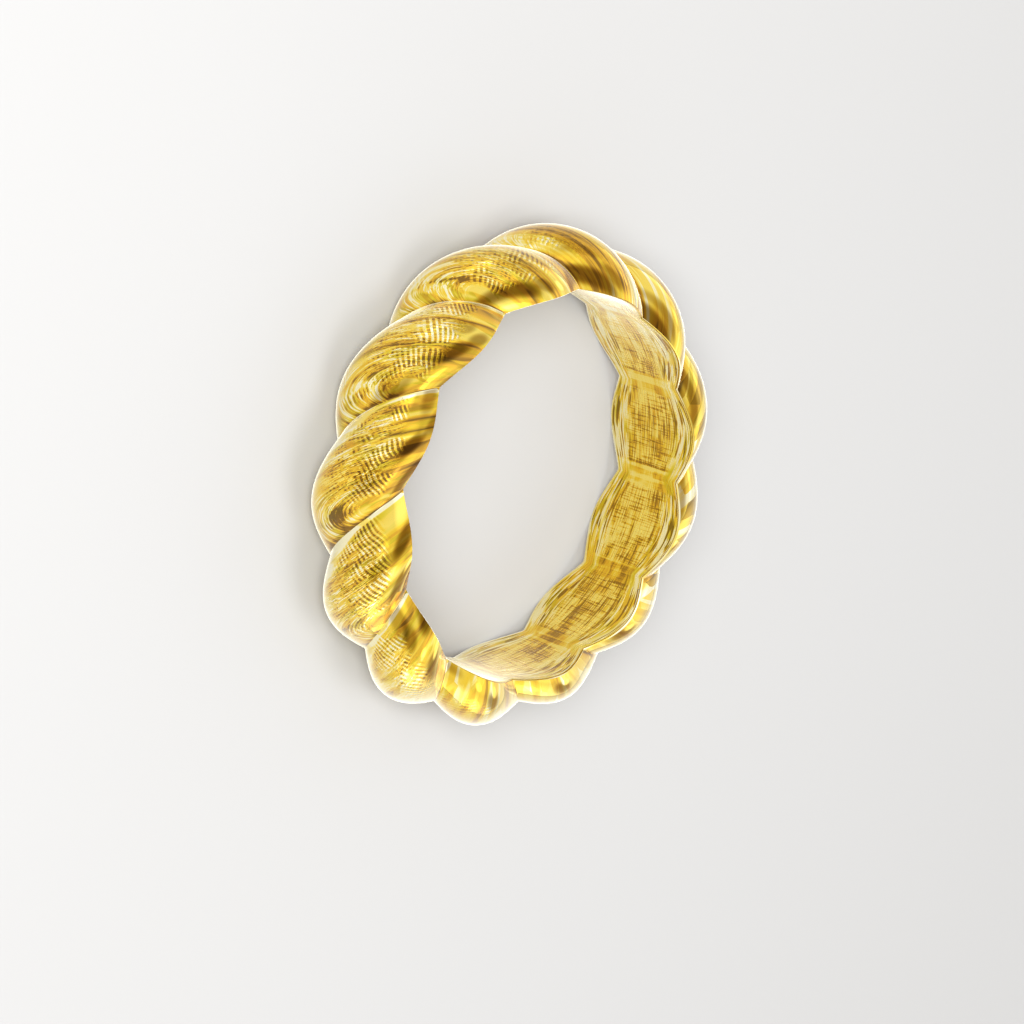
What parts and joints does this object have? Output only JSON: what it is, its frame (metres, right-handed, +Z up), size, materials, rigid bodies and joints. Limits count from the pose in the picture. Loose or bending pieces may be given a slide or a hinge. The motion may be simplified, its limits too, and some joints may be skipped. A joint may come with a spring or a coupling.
{
  "type": "spiral ring",
  "caption": "Finger ring formed as a twisted rope of fused round strands, closed into a hoop and bored smooth inside.",
  "frame": {"origin": "the point on the plane the ring lies on, straight under the middle of the finger hole", "axes": "+Z up along the finger hole's axis, +X out through the crest of one lobe"},
  "size_m": [0.0232, 0.0232, 0.0054],
  "materials": {
    "gold": "polished yellow gold with fine drawn lines along the strands"
  },
  "bodies": {
    "root": {"twisted_band": "gold"}
  },
  "joints": []
}
